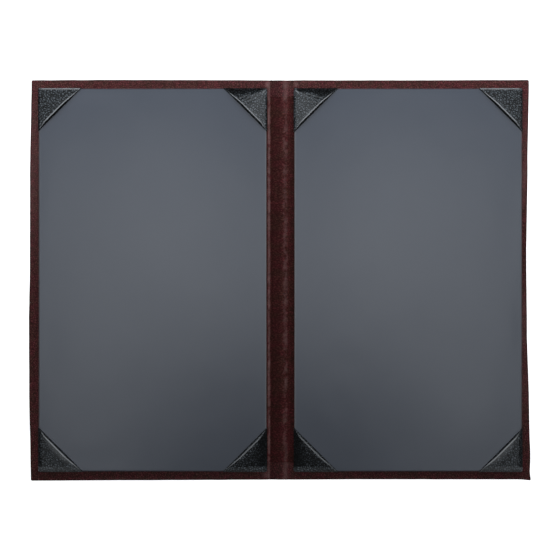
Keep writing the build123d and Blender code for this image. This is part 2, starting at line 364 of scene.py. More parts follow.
def finish(name):
    """The named finish, made once.

    The real grain of each leatherette is finer than the picture can show, so it is drawn coarse
    enough to show as the same speckle: 1.7 and 1.3 mm on the burgundy, 2.1 mm on the black."""
    tones = bpy.context.scene.menu_cover_finishes
    if name in bpy.data.materials:
        return bpy.data.materials[name]
    if name == "burgundy_bookcloth":
        pair = (tones.burgundy, tones.brown)
        coat = {"roughness": 0.7, "shine": 0.14, "contrast": (0.3, 1.55)}
        return grained_leatherette(name, pair, tones.rubbed, 1.7 * MM, 0.35 * MM, **coat)
    if name == "burgundy_ribbed_bookcloth":
        pair = (tones.lining, tones.lining_brown)
        coat = {"roughness": 0.7, "shine": 0.12, "contrast": (0.4, 1.4), "stretch": 2.6}
        return grained_leatherette(name, pair, tones.rubbed, 1.3 * MM, 0.3 * MM, **coat)
    if name == "black_pebbled_leathercloth":
        pair = (tones.pocket, tones.pocket)
        coat = {"roughness": 0.4, "shine": 0.23, "contrast": (-0.35, 2.6)}
        return grained_leatherette(name, pair, tones.fold, 2.1 * MM, 0.85 * MM, **coat)
    if name == "satin_coated_paper":
        return satin_facing(name, tones.facing, tones.rim)
    return pulp_board(name, tones.board if name == "greyboard" else tones.card)


def smooth(low, high, value):
    """0 below low, 1 above high, and an even blend between."""
    part = min(max((value - low) / (high - low), 0.0), 1.0)
    return part * part * (3 - 2 * part)


def waver(x, y, span, seed):
    """Slow unevenness between -1 and 1, over about one span."""
    return noise.noise(Vector((x / span, y / span, seed)))


def hump(x, y, middle, reach):
    """1 at a place, fading over its reach each way."""
    return math.exp(-(((x - middle[0]) / reach[0]) ** 2) - ((y - middle[1]) / reach[1]) ** 2)


def second_round(run, rise, first_round):
    """The radius that finishes two tangent arcs over a run and a rise, after the first one."""
    return run / math.sin(2 * math.atan2(rise, run)) - first_round


def climb(place, run, rise, first_round):
    """Height of two tangent arcs that rise over a run, at a place along it."""
    turn = 2 * math.atan2(rise, run)
    last_round = second_round(run, rise, first_round)
    if place < first_round * math.sin(turn):
        return first_round - math.sqrt(first_round**2 - place**2)
    return rise - last_round + math.sqrt(last_round**2 - (run - place) ** 2)


def inner_height(case, x):
    """Top of the leatherette across the case: down into both joints and over the spine."""
    far = abs(x)
    depth = case.top - case.floor
    if far >= case.cover_edge:
        return case.top
    if far > case.middle:
        run = case.cover_edge - case.middle
        return case.floor + climb(far - case.middle, run, depth, case.floor_round)
    return case.floor + climb(case.middle - far, case.middle, depth, case.floor_round)


def back_height(case, x):
    """Underside of the case: flat but for the two pressed joints."""
    run = case.cover_edge - case.middle
    place = run - abs(abs(x) - case.middle)
    if place <= 0:
        return 0.0
    even = second_round(run, case.groove, 0.0) / 2
    return climb(place, run, case.groove, even)


def steps(start, end, size):
    """Evenly spaced places from start to end, no further apart than size."""
    count = max(1, math.ceil(abs(end - start) / size - 1e-6))
    return [start + (end - start) * k / count for k in range(count + 1)]


def corner_path(reach, inset, corner_round):
    """A ring's way round one corner, as distances in from the two edges, and 1 on the diagonal."""
    runs, turns = 8, 6
    bend = min(max(corner_round - inset, 0.25 * MM), reach - inset)
    start = inset + bend
    straight = [start + (reach - start) * (k / runs) ** CROWDING for k in range(runs, 0, -1)]
    path = [(far, inset, 0.0) for far in straight[1:]]
    for k in range(turns + 1):
        angle = math.pi / 2 * k / turns
        across = start - bend * math.sin(angle)
        along = start - bend * math.cos(angle)
        path.append((across, along, math.sin(2 * angle) ** 2))
    path += [(inset, far, 0.0) for far in reversed(straight[1:])]
    return path


def ring(box, spots, inset, corner_round, closed):
    """One line round a rectangle, inset from its outline. Straight runs keep the same spots."""
    x_low, x_high, y_low, y_high = box
    x_spots, y_spots = spots
    corner = corner_path(y_high - y_spots[-1], inset, corner_round)
    path = [(x, y_high - inset, 0.0) for x in x_spots]
    path += [(x_high - a, y_high - b, c) for a, b, c in corner]
    path += [(x_high - inset, y, 0.0) for y in reversed(y_spots)]
    path += [(x_high - a, y_low + b, c) for a, b, c in reversed(corner)]
    path += [(x, y_low + inset, 0.0) for x in reversed(x_spots)]
    if closed:
        path += [(x_low + a, y_low + b, c) for a, b, c in corner]
        path += [(x_low + inset, y, 0.0) for y in y_spots]
        path += [(x_low + a, y_high - b, c) for a, b, c in reversed(corner)]
        path.append(path[0])
    return path


def make_skin(name, grids, wall):
    """A closed piece from rows of points on its outside, each with its wear and painted light, and
    a wall inside.
    """
    work = bmesh.new()
    worn = work.verts.layers.float.new("worn")
    for rows in grids:
        laid = []
        for row in rows:
            line = []
            for point in row:
                vertex = None
                if point is not None:
                    vertex = work.verts.new(point[:3])
                    vertex[worn] = point[3]
                line.append(vertex)
            laid.append(line)
        for near, far in zip(laid, laid[1:]):
            for four in zip(near, near[1:], far[1:], far):
                if None not in four:
                    work.faces.new(four)
    bmesh.ops.remove_doubles(work, verts=work.verts, dist=WELD)
    bmesh.ops.recalc_face_normals(work, faces=work.faces)
    work.faces.ensure_lookup_table()
    highest = max(work.faces, key=lambda face: face.calc_center_median().z)
    if highest.normal.z < 0:
        bmesh.ops.reverse_faces(work, faces=work.faces)
    return settle(shown_piece(name, work), wall)


def shown_piece(name, work):
    """A new object in the scene from a mesh that has been worked on."""
    mesh = bpy.data.meshes.new(name)
    work.to_mesh(mesh)
    work.free()
    piece = bpy.data.objects.new(name, mesh)
    bpy.context.scene.collection.objects.link(piece)
    return piece


def settle(piece, wall):
    """Gives a sheet its thickness and turns it into one plain, smoothly shaded mesh."""
    solid = piece.modifiers.new("Thickness", "SOLIDIFY")
    solid.thickness = wall
    solid.offset = -1
    solid.use_quality_normals = True
    shown = piece.evaluated_get(bpy.context.evaluated_depsgraph_get())
    mesh = bpy.data.meshes.new_from_object(shown)
    piece.modifiers.clear()
    piece.data = mesh
    mesh.shade_smooth()
    mesh.set_sharp_from_angle(angle=SHARP_TURN)
    return piece


def bowed(*spots):
    """A smooth line through (place, bow) spots along a side, both in millimetres."""
    def at(y):
        place = y / MM
        for (near, first), (far, second) in zip(spots, spots[1:]):
            if place <= far:
                return first + (second - first) * smooth(near, far, place)
        return spots[-1][1]
    return at


# How far the left (-1) and the right (1) edge run outside the straight board, from tail to head
BOWS = {
    -1: bowed(
        (-190, -1.3), (-172, -0.9), (-110, 0.3), (-40, 0.5), (15, -0.4), (95, -0.5), (190, -1.9)
    ),
    1: bowed(
        (-190, 1.9), (-172, 2.7), (-130, 1.6), (-40, -0.6), (20, -1.1), (110, 0.1), (190, 1.3)
    ),
}
# The same for the tail (-1) and the head (1) edge, from left to right
END_BOWS = {
    -1: bowed((-235, 1.3), (-150, 0.9), (0, 0.3), (80, 0.0), (238, 0.1)),
    1: bowed((-235, -0.5), (-150, -0.2), (20, -0.6), (110, -0.6), (238, -0.3)),
}
# Puckers beside the spine: each one's place and reach, across and up, in millimetres, and height
PUCKERS = (
    (-10.8, 186.4, 2.0, 2.6, 1.0),
    (17.2, 186.6, 1.6, 2.4, 0.8),
    (-12.6, -186.6, 2.4, 2.4, 0.7),
)
# Where a painted sheen makes the side borders paler: the side, how far up it and how far it fades,
# in millimetres, and its strength
PAINTED_SHEEN_PATCHES = (
    (-1, 105, 75, 0.2),
    (1, 140, 40, 0.1),
    (1, 95, 24, 0.28),
    (1, -40, 34, 0.25),
    (1, -102, 26, 0.12),
)
# Insets of the case's rows along the turn-in, from its inner edge, and under the back, and of a
# facing's rows on its face and on its flap, in millimetres
TURN_IN_ROWS = (16.0, 15.5, 14.2, 12.8, 11.4, 10.0, 8.6, 7.4, 6.2, 5.2, 4.2, 3.4, 2.6, 2.0, 1.5)
BACK_ROWS = (1.6, 2.6, 4.5, 7.5, 11.0, 15.0, 20.0)
FACE_ROWS = (20.0, 15.0, 10.5, 7.0, 4.5, 2.6, 1.3)
FLAP_ROWS = (1.4, 4.2, 8.4, 14.0)


def highlight_band(case, x):
    """1 in the middle of the two painted highlight lines that run along the spine, 0 beyond them.
    """
    if x < 0:
        return smooth(case.lip_highlight_reach, 0, abs(-x - case.lip_highlight))
    return smooth(case.crown_highlight_reach, 0, abs(x - case.crown_highlight))


def case_point(case, half, x, y, height, inset, crease, top_side):
    """Moves a point of the plain case as hand work would, and gives its painted highlights, sheen
    and shade.
    """
    width, tall = half
    way = 1 if x >= 0 else -1
    up = 1 if y >= 0 else -1
    edge = 1 - smooth(2 * MM, 9 * MM, inset)
    wander = case.sway * (waver(x, y, 16 * MM, 1.0) + 0.25 * waver(x, y, 6 * MM, 2.0) + 0.3)
    on_side = smooth(0, 12 * MM, abs(x) - (width - 14 * MM))
    on_end = smooth(0, 12 * MM, abs(y) - (tall - 14 * MM))
    bow = BOWS[way](y) * MM * on_side * (1 - smooth(4 * MM, 16 * MM, inset))
    end_bow = END_BOWS[up](x) * MM * on_end * (1 - smooth(3 * MM, 8 * MM, inset))
    ear = case.ear * hump(x, y, (width, -tall), (5 * MM, 5 * MM))
    out_x = way * (wander * edge * on_side + bow) + ear
    out_y = up * (wander * edge * on_end + end_bow) - 0.7 * ear
    worn = 0.0
    if top_side:
        height -= case.mitre * crease * smooth(1.5 * MM, 3 * MM, inset)
        height += 0.05 * MM * waver(x, y, 7 * MM, 3.0)
        pucker = 0.0
        for spot_x, spot_y, reach_x, reach_y, rise in PUCKERS:
            reach = (reach_x * MM, reach_y * MM)
            pucker += rise * hump(x, y, (spot_x * MM, spot_y * MM), reach)
        height += case.pucker * pucker
        # Painted highlights on the puckers and the two lines along the spine, uneven in specks;
        # painted shade in the joints
        painted_gleam = 0.75 + 0.5 * waver(x, y, 4 * MM, 6.0)
        joint = smooth(case.cover_edge, case.middle, abs(x))
        band = highlight_band(case, x)
        worn = min(1.0, case.pucker_highlight * pucker + case.line_highlight * painted_gleam * band)
        # Painted shade inside the joints, beside the highlight lines
        worn -= case.painted_joint_shade * joint * (1 - band)
        # Painted sheen in patches along the side borders
        for side, place, reach, wear in PAINTED_SHEEN_PATCHES:
            spot = (side * (width - 4 * MM), place * MM)
            worn += wear * painted_gleam * hump(x, y, spot, (9 * MM, reach * MM))
        # Painted shade along the outermost edge
        worn -= case.painted_edge_shade * smooth(1.2 * MM, 0.3 * MM, inset) * (1 - worn)
    return (x + out_x, y + out_y, height, worn)


def folded_edge(high, low, bend, turn):
    """Insets and heights round a fold: its upper bend, its upright edge and its lower bend."""
    section = []
    for degrees in range(90, -91, -turn):
        angle = math.radians(degrees)
        inset = bend - bend * math.cos(angle)
        if degrees >= 0:
            section.append((inset, high - bend + bend * math.sin(angle)))
        if degrees <= 0:
            section.append((inset, low + bend + bend * math.sin(angle)))
    return section


def case_section(case, x):
    """Insets and heights from the turn-in's inner edge, round the fold and under the back."""
    top, low = inner_height(case, x), back_height(case, x)
    bend = min(case.edge_round, (top - low) / 2)
    section = [(inset * case.turn_in / TURN_IN_ROWS[0], top) for inset in TURN_IN_ROWS]
    section += folded_edge(top, low, bend, 15)
    return section + [(inset * MM, low) for inset in BACK_ROWS]


def case_half(case, side):
    """Half of the one burgundy sheet, from the middle of the spine round one cover."""
    way = SIDES[side]
    half = (CAD_BOX[1].x, CAD_BOX[1].y)
    reach = BACK_ROWS[-1] * MM
    # Close columns over the spine and its joint, wider ones over the cover beyond them
    beyond, close, wide = 14 * MM, 0.5 * MM, 3 * MM
    x_spots = steps(0, beyond, close) + steps(beyond, half[0] - reach, wide)[1:]
    y_spots = steps(-half[1] + reach, half[1] - reach, wide)
    box = (0, half[0], -half[1], half[1])
    sections = {}
    plain = case_section(case, half[0])
    turned = next(k for k, (inset, _) in enumerate(plain) if inset == 0.0)
    rows = []
    for number, (nominal, _) in enumerate(plain):
        row = []
        for x, y, crease in ring(box, (x_spots, y_spots), nominal, case.corner_round, False):
            key = min(x, case.cover_edge)
            if key not in sections:
                sections[key] = case_section(case, key)
            inset, height = sections[key][number]
            if x < case.cover_edge:
                y = math.copysign(half[1] - inset, y)
            point = case_point(case, half, way * x, y, height, inset, crease, number <= turned)
            row.append(point)
        rows.append(row)
    back = [[(way * x, y, back_height(case, x), 0.0) for x in x_spots] for y in y_spots]
    return make_skin(f"{side}_case_leatherette", [rows, back], case.sheet)


def bend_at_joint(piece):
    """Bakes a piece's placement into its mesh."""
    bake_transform(piece)


class MENUCOVER_OT_case(bpy.types.Operator):
    """Wrap the boards in burgundy leatherette, in two halves"""

    bl_idname = "menu_cover.case"
    bl_label = "Case leatherette"

    def execute(self, context):
        case = context.scene.menu_cover_case
        for side in SIDES:
            piece = case_half(case, side)
            piece.data.materials.append(finish("burgundy_bookcloth"))
            cover, strip = f"{side}_cover_leatherette", f"{side}_outer_hinge"
            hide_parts(cover, strip, "spine_leatherette")
            bend_at_joint(piece)
        return {"FINISHED"}


LINING_SOCKETS = {
    "NodeSocketFloat": (
        "Reach", "Length", "Way", "Top", "Floor", "Middle", "Cover edge", "Crown round",
        "Floor round", "Lip round", "Crown ends", "Lip begins", "Rib gap", "Rib height",
        "Pleat wander", "Rub middle", "Rub reach", "Rub strength", "Joint shade",
    ),
    "NodeSocketInt": ("Columns", "Rows", "Seed"),
    "NodeSocketMaterial": ("Material",),
}


def lining_tree():
    """Nodes for the strip: a grid laid over the joint's arcs, with fine pleats over the spine."""
    tree = bpy.data.node_groups.new("Spine lining", "GeometryNodeTree")
    sockets = tree.interface
    sockets.new_socket("Geometry", in_out="OUTPUT", socket_type="NodeSocketGeometry")
    for kind, names in LINING_SOCKETS.items():
        for name in names:
            sockets.new_socket(name, in_out="INPUT", socket_type=kind)
    given = add(tree, "NodeGroupInput").node.outputs
    grid = {"Size X": given["Reach"], "Size Y": given["Length"]}
    grid.update({"Vertices X": given["Columns"], "Vertices Y": given["Rows"]})
    grid = add(tree, "GeometryNodeMeshGrid", grid)
    shift = {0: given["Reach"], 1: given["Way"]}
    shift = add(tree, "ShaderNodeMath", shift, operation="MULTIPLY")
    shift = add(tree, "ShaderNodeMath", {0: shift, 1: 0.5}, operation="MULTIPLY")
    shift = add(tree, "ShaderNodeCombineXYZ", {"X": shift})
    moved = add(tree, "GeometryNodeTransform", {"Geometry": grid, "Translation": shift})
    place = add(tree, "GeometryNodeInputPosition")
    split = add(tree, "ShaderNodeSeparateXYZ", {0: place}).node.outputs
    far = add(tree, "ShaderNodeMath", {0: split["X"]}, operation="ABSOLUTE")
    # The crown, the joint's floor and the cover board's lip: each an arc about its own middle
    heights = []
    arcs = (
        (0.0, "Crown round", "Top", 1.0),
        (given["Middle"], "Floor round", "Floor", -1.0),
        (given["Cover edge"], "Lip round", "Top", 1.0),
    )
    for centre, radius, level, way in arcs:
        bend = given[radius]
        off = add(tree, "ShaderNodeMath", {0: far, 1: centre}, operation="SUBTRACT")
        off_square = add(tree, "ShaderNodeMath", {0: off, 1: off}, operation="MULTIPLY")
        square = add(tree, "ShaderNodeMath", {0: bend, 1: bend}, operation="MULTIPLY")
        rest = {0: square, 1: off_square}
        rest = add(tree, "ShaderNodeMath", rest, operation="SUBTRACT", use_clamp=True)
        root = add(tree, "ShaderNodeMath", {0: rest}, operation="SQRT")
        base = {0: bend, 1: -way, 2: given[level]}
        base = add(tree, "ShaderNodeMath", base, operation="MULTIPLY_ADD")
        height = {0: root, 1: way, 2: base}
        heights.append(add(tree, "ShaderNodeMath", height, operation="MULTIPLY_ADD"))
    height = heights.pop(0)
    heights.append(given["Top"])
    for limit, beyond in zip(("Crown ends", "Lip begins", "Cover edge"), heights):
        past = {0: far, 1: given[limit]}
        past = add(tree, "FunctionNodeCompare", past, operation="GREATER_THAN")
        either = {"Switch": past, "False": height, "True": beyond}
        height = add(tree, "GeometryNodeSwitch", either, input_type="FLOAT")
    # Pleats: a ripple along the spine, uneven over patches 7 mm wide
    wander = {"Vector": place, "W": given["Seed"], "Scale": 140.0, "Detail": 2.0}
    wander = add(tree, "ShaderNodeTexNoise", wander, noise_dimensions="4D")
    along = {0: split["Y"], 1: given["Rib gap"]}
    along = add(tree, "ShaderNodeMath", along, operation="DIVIDE")
    phase = {0: wander, 1: given["Pleat wander"], 2: along}
    phase = add(tree, "ShaderNodeMath", phase, operation="MULTIPLY_ADD")
    turns = add(tree, "ShaderNodeMath", {0: phase, 1: math.tau}, operation="MULTIPLY")
    ripple = add(tree, "ShaderNodeMath", {0: turns}, operation="SINE")
    patch = {0: wander, 1: given["Rib height"]}
    patch = add(tree, "ShaderNodeMath", patch, operation="MULTIPLY")
    fade = {"Value": far, 1: given["Lip begins"], 2: given["Crown ends"]}
    fade = add(tree, "ShaderNodeMapRange", fade, interpolation_type="SMOOTHSTEP")
    rise = add(tree, "ShaderNodeMath", {0: patch, 1: fade}, operation="MULTIPLY")
    raised = {0: ripple, 1: rise, 2: height}
    raised = add(tree, "ShaderNodeMath", raised, operation="MULTIPLY_ADD")
    target = {"X": split["X"], "Y": split["Y"], "Z": raised}
    target = add(tree, "ShaderNodeCombineXYZ", target)
    laid = add(tree, "GeometryNodeSetPosition", {"Geometry": moved, "Position": target})
    # The painted highlight line: palest along its middle and uneven over specks 4 mm wide, with
    # painted shade beside it
    away = {0: far, 1: given["Rub middle"]}
    away = add(tree, "ShaderNodeMath", away, operation="SUBTRACT")
    away = add(tree, "ShaderNodeMath", {0: away}, operation="ABSOLUTE")
    line = {"Value": away, 1: given["Rub reach"], 2: 0.0}
    line = add(tree, "ShaderNodeMapRange", line, interpolation_type="SMOOTHSTEP")
    specks = add(tree, "ShaderNodeTexNoise", {"Vector": place, "Scale": 260.0, "Detail": 3.0})
    uneven = {"Value": specks, "From Min": 0.3, "From Max": 0.7, "To Min": 0.35}
    uneven = add(tree, "ShaderNodeMapRange", uneven)
    painted_gleam = add(tree, "ShaderNodeMath", {0: line, 1: uneven}, operation="MULTIPLY")
    wear = {"Value": painted_gleam, "To Min": given["Joint shade"], "To Max": given["Rub strength"]}
    wear = add(tree, "ShaderNodeMapRange", wear, clamp=False)
    marked = {"Geometry": laid, "Name": "worn", "Value": wear}
    marked = add(tree, "GeometryNodeStoreNamedAttribute", marked)
    real = add(tree, "GeometryNodeRealizeInstances", {"Geometry": marked})
    done = {"Geometry": real, "Material": given["Material"]}
    done = add(tree, "GeometryNodeSetMaterial", done)
    add(tree, "NodeGroupOutput", {"Geometry": done})
    return tree


class MENUCOVER_OT_lining(bpy.types.Operator):
    """Lay the leatherette strip over the spine and both joints, in two halves"""

    bl_idname = "menu_cover.lining"
    bl_label = "Spine lining"

    def execute(self, context):
        case, strip = context.scene.menu_cover_case, context.scene.menu_cover_lining
        tree = lining_tree()
        column_gap, row_gap = 0.6 * MM, 0.65 * MM
        depth = case.top - case.floor
        lip_run = case.cover_edge - case.middle
        crown_round = second_round(case.middle, depth, case.floor_round)
        lip_round = second_round(lip_run, depth, case.floor_round)
        crown_turn = 2 * math.atan2(depth, case.middle)
        lip_turn = 2 * math.atan2(depth, lip_run)
        for side, way in SIDES.items():
            low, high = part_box(f"{side}_liner_facing")
            near = high.x if way < 0 else low.x
            reach = abs(near) + strip.under
            given = {
                "Reach": reach,
                "Length": strip.length,
                "Way": float(way),
                "Top": case.top,
                "Floor": case.floor,
                "Middle": case.middle,
                "Cover edge": case.cover_edge,
                "Crown round": crown_round,
                "Floor round": case.floor_round,
                "Lip round": lip_round,
                "Crown ends": crown_round * math.sin(crown_turn),
                "Lip begins": case.cover_edge - lip_round * math.sin(lip_turn),
                # Each half's painted highlight line, and the painted shade beside it
                "Rub middle": case.lip_highlight if way < 0 else case.crown_highlight,
                "Rub reach": case.lip_highlight_reach if way < 0 else case.crown_highlight_reach,
                "Rub strength": strip.lip_highlight_strength if way < 0 else strip.crown_highlight_strength,
                "Joint shade": -strip.shade,
                "Rib gap": strip.rib_gap,
                "Rib height": strip.rib,
                "Pleat wander": strip.wander,
                "Columns": round(reach / column_gap) + 1,
                "Rows": round(strip.length / row_gap) + 1,
                "Seed": strip.seed,
                "Material": finish("burgundy_ribbed_bookcloth"),
            }
            piece = shown_piece(f"{side}_lining", bmesh.new())
            nodes = piece.modifiers.new("Lining", "NODES")
            nodes.node_group = tree
            for item in tree.interface.items_tree:
                if item.in_out == "INPUT":
                    nodes[item.identifier] = given[item.name]
            settle(piece, case.sheet)
            for spare in range(len(piece.data.materials) - 1, -1, -1):
                if piece.data.materials[spare] is None:
                    piece.data.materials.pop(index=spare)
            wing, hinge = f"{side}_lining_wing", f"{side}_inner_hinge"
            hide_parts(wing, hinge, "spine_lining")
            bend_at_joint(piece)
        return {"FINISHED"}


def facing_section(liner, low, high):
    """Insets and heights of the facing from its face, round the fold and on to its back."""
    section = [(inset * MM, high) for inset in FACE_ROWS]
    section += folded_edge(high, low, liner.edge_round, 18)
    return section + [(inset * liner.flap / FLAP_ROWS[-1], low) for inset in FLAP_ROWS]


# How far each liner's facing stands off its card at its right and its tail edge
SLACK = {"left": (1.3 * MM, 1.1 * MM), "right": (1.1 * MM, 1.1 * MM)}


def facing_box(side):
    """A facing's lowest and highest corners, with its slack."""
    low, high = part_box(f"{side}_liner_facing")
    right, tail = SLACK[side]
    return low - Vector((0, tail, 0)), high + Vector((right, 0, 0))


def make_facing(liner, side):
    """The grey facing, folded round its card."""
    low, high = facing_box(side)
    box = (low.x, high.x, low.y, high.y)
    reach, gap = FACE_ROWS[0] * MM, 4 * MM
    x_spots = steps(low.x + reach, high.x - reach, gap)
    y_spots = steps(low.y + reach, high.y - reach, gap)
    seed = 20.0 + SIDES[side]

    def lift(x, y, inset):
        """The glued face's slight unevenness, which dies out at its folded edges."""
        slow = waver(x, y, 70 * MM, seed) + 0.35 * waver(x, y, 24 * MM, seed + 5)
        return liner.wave * slow * smooth(0.5 * MM, 14 * MM, inset)

    rows = []
    for inset, height in facing_section(liner, low.z, high.z):
        row = []
        for x, y, _ in ring(box, (x_spots, y_spots), inset, liner.corner_round, True):
            rise = lift(x, y, inset) if height == high.z else 0.0
            # The folded edges are rubbed paler and carry a painted highlight, at full strength on
            # the left and right edges
            upright = min(x - low.x, high.x - x) < 2 * MM
            worn = smooth(1.6 * MM, 0.6 * MM, inset) * (1.0 if upright else 0.4)
            row.append((x, y, height + rise, worn))
        rows.append(row)
    face = [[(x, y, high.z + lift(x, y, reach), 0.0) for x in x_spots] for y in y_spots]
    return make_skin(f"{side}_facing", [rows, face], liner.sheet)


class MENUCOVER_OT_liners(bpy.types.Operator):
    """Face both liner cards with slate grey paper"""

    bl_idname = "menu_cover.liners"
    bl_label = "Liner facings"

    def execute(self, context):
        liner = context.scene.menu_cover_liner
        for side in SIDES:
            piece = make_facing(liner, side)
            piece.data.materials.append(finish("satin_coated_paper"))
            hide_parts(f"{side}_liner_facing")
            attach(piece, f"{side}_leaf")
        return {"FINISHED"}


# How a pocket was pulled: the mouth's gape and how much further out it lies, in millimetres, the
# lip's painted highlight and painted shade, and its wrinkles. A wrinkle is how far below the head
# edge it runs, 18 mm in from the spine's side, then how steeply it drops towards the mouth, and its
# height.
Pull = namedtuple("Pull", "end place gape out shine shade wrinkles")
LEFT_WRINKLES = ((6.3, 0.5, 1.0), (9.6, 0.42, 0.6), (13.0, 0.35, 0.8))
RIGHT_WRINKLES = ((7.0, 0.3, 1.0), (10.2, 0.25, 0.6), (13.6, 0.1, 0.7))
PULLS = (
    ("left", Pull("top", "outer", 0.9, -0.25, 0.85, 1.0, ())),
    ("left", Pull("top", "inner", 1.2, -0.1, 0.8, 0.85, LEFT_WRINKLES)),
    ("left", Pull("bottom", "outer", 1.0, 1.0, 1.0, 0.6, ())),
    ("left", Pull("bottom", "inner", 0.8, 0.6, 0.7, 0.4, ())),
    ("right", Pull("top", "outer", 1.0, 0.0, 0.85, 1.0, ())),
    ("right", Pull("top", "inner", 1.1, 0.5, 0.8, 0.85, RIGHT_WRINKLES)),
    ("right", Pull("bottom", "outer", 0.9, 0.3, 1.0, 0.6, ())),
    ("right", Pull("bottom", "inner", 0.9, 0.5, 0.7, 0.4, ())),
)


def pocket_lift(pocket, pull, x, y, seed):
    """How far a pocket's face stands above its sides, at a place measured from its corner."""
    depth = (x + y) / math.sqrt(2)
    to_mouth = pocket.mouth + pull.out * MM - depth
    stand = (1 - math.exp(-max(x, 0) / (5 * MM))) * (1 - math.exp(-max(y, 0) / (5 * MM)))
    lift = pull.gape * MM * stand * smooth(4 * MM, 26 * MM, depth)
    lift += pocket.hem_step * smooth(pocket.hem + 4 * MM, pocket.hem - 2 * MM, to_mouth)
    lift += pocket.uneven * waver(x, y, 9 * MM, seed) * stand
    lift += pocket.dimple * waver(x, y, 4 * MM, seed + 3) * stand
    return lift + pocket.wrinkle * wrinkle(pull, x, y, seed)


def pocket_section(pocket, middle, face, low):
    """Insets, heights and slopes from a pocket's face, over its side and under the liner."""
    run, drop = pocket.side_run, pocket.side_drop
    # The rows' spacing on the face, and the radius of the fold under the liner
    gap, bottom = 0.75 * MM, 0.45 * MM
    stations = [(inset, face, (1.0, 0.0)) for inset in steps(middle, run, gap)]
    for degrees in range(75, -1, -15):
        angle = math.radians(degrees)
        size = math.hypot(run * math.sin(angle), drop * math.cos(angle))
        slope = (run * math.sin(angle) / size, drop * math.cos(angle) / size)
        inset = run - run * math.cos(angle)
        stations.append((inset, face - drop + drop * math.sin(angle), slope))
    stations.append((0.0, low + bottom, (0.0, 1.0)))
    for degrees in (-30, -60, -90):
        angle = math.radians(degrees)
        inset = bottom - bottom * math.cos(angle)
        stations.append((inset, low + bottom + bottom * math.sin(angle), None))
    tails = (2.5 * MM, 6 * MM, 9.5 * MM, pocket.tail)
    return stations + [(inset, low, None) for inset in tails]


def pocket_rings(pocket, levels, pull, seed):
    """Rows round a pocket's corner, from the mouth's middle out, over the sides and under.

    Each row starts under the hem at one end of the mouth and ends under it at the other."""
    face, low = levels
    leg_steps, turn_steps = 46, 6
    tangent = math.sqrt(2) * (pocket.mouth + pull.out * MM - pocket.fold)
    rows = []
    for inset, height, slope in pocket_section(pocket, tangent / 2 + pocket.loose, face, low):
        at = inset - pocket.loose
        ends = []
        for spot in ((tangent, at), (at, tangent)):
            ends.append(tangent - at + math.sqrt(2) * (pocket.fold - lip_width(pocket, *spot)))
        bend = min(max(pocket.corner_round - inset, 0.3 * MM), (min(ends) - at) / 2)
        legs = []
        for end in ends:
            run = end - at - bend
            legs.append([end - run * (k / leg_steps) ** CROWDING for k in range(leg_steps + 1)])
        path = [(far, at) for far in legs[0]]
        for k in range(1, turn_steps):
            angle = math.pi / 2 * k / turn_steps
            path.append((at + bend - bend * math.sin(angle), at + bend - bend * math.cos(angle)))
        path += [(at, far) for far in reversed(legs[1])]
        row = [place_on_pocket(pocket, pull, x, y, height, levels, seed) for x, y in path]
        start_hem = hem_points(pocket, row[0], slope, (1, 0), pull)
        end_hem = hem_points(pocket, row[-1], slope, (0, 1), pull)
        rows.append(list(reversed(start_hem)) + row + end_hem)
    return rows


def along_mouth(x, y):
    """1 along a mouth, fading out towards its two ends."""
    return smooth(0, 9 * MM, min(x, y) + MM)


def place_on_pocket(pocket, pull, x, y, height, levels, seed):
    """A point of the pocket's outside, raised with the face, with its painted light and shade."""
    face, low = levels
    share = max(0.0, (height - low) / (face - low))
    lift = pocket_lift(pocket, pull, x, y, seed) * share
    depth = (x + y) / math.sqrt(2)
    to_fold = pocket.mouth + pull.out * MM - lip_width(pocket, x, y) - depth
    # The pale crest line: partly rubbed, partly a painted highlight
    rubbed = along_mouth(x, y) * smooth(pocket.rubbed, 0.5 * pocket.rubbed, to_fold)
    worn = pocket_painted_light(pull, x, y, to_fold, seed)
    return (x, y, height + lift, worn + (pull.shine - worn) * rubbed)


def pocket_painted_light(pull, x, y, to_fold, seed):
    """Painted light and shade at a place x in from a pocket's side and y in from its head or tail
    edge.
    """
    across, along = x / MM, y / MM
    # A painted highlight near the lip, and a painted shadow along the side edge
    near_lip = smooth(7 * MM, 0, to_fold) * smooth(3, 13, min(across, along))
    side_shadow_line = smooth(1.3, 0.3, across) * smooth(1, 3, along)
    if pull.end == "top" and pull.place == "outer":
        # A painted highlight along the head edge, over a slight painted lift of the whole face
        top_highlight_line = 0.45 * smooth(1.2, 0.5, along) * smooth(0, 5, across)
        return 0.045 + 0.05 * near_lip + top_highlight_line - 0.75 * side_shadow_line
    if pull.end == "top":
        # Painted light: pale below a painted shadow wedge at the head edge, a painted glint at the
        # corner, and painted highlights and shade on the wrinkles
        shadow_wedge = 0.7 + 0.09 * across
        worn = 0.17 * smooth(shadow_wedge, shadow_wedge + 4, along) * smooth(34, 10, across)
        worn += 0.16 * wrinkle(pull, x, y, seed) + 0.05 * near_lip
        corner = Vector((across + along - 5, (across - along) * 3))
        worn += 0.55 * math.exp(-corner.length_squared / 9)
        worn -= 0.5 * side_shadow_line * smooth(3, 9, along)
        dark = smooth(1.2 + 0.3 * across, shadow_wedge, along) * smooth(1, 4, across)
        return worn - (worn + 0.95) * dark
    # Foot pockets: a painted sheen along the foot edge; the outer ones get a painted shadow along
    # the side, the inner ones painted shade over most of the face
    foot_sheen = smooth(5.5, 4, along)
    if pull.place == "outer":
        side_shadow = 0.8 * smooth(3.4, 0.8, across) * (1 - foot_sheen)
        return 0.12 * foot_sheen + 0.08 + 0.27 * near_lip - side_shadow
    dark = -0.95 + 0.4 * smooth(2, 14, across) + 0.6 * near_lip
    return dark + (0.08 - dark) * foot_sheen


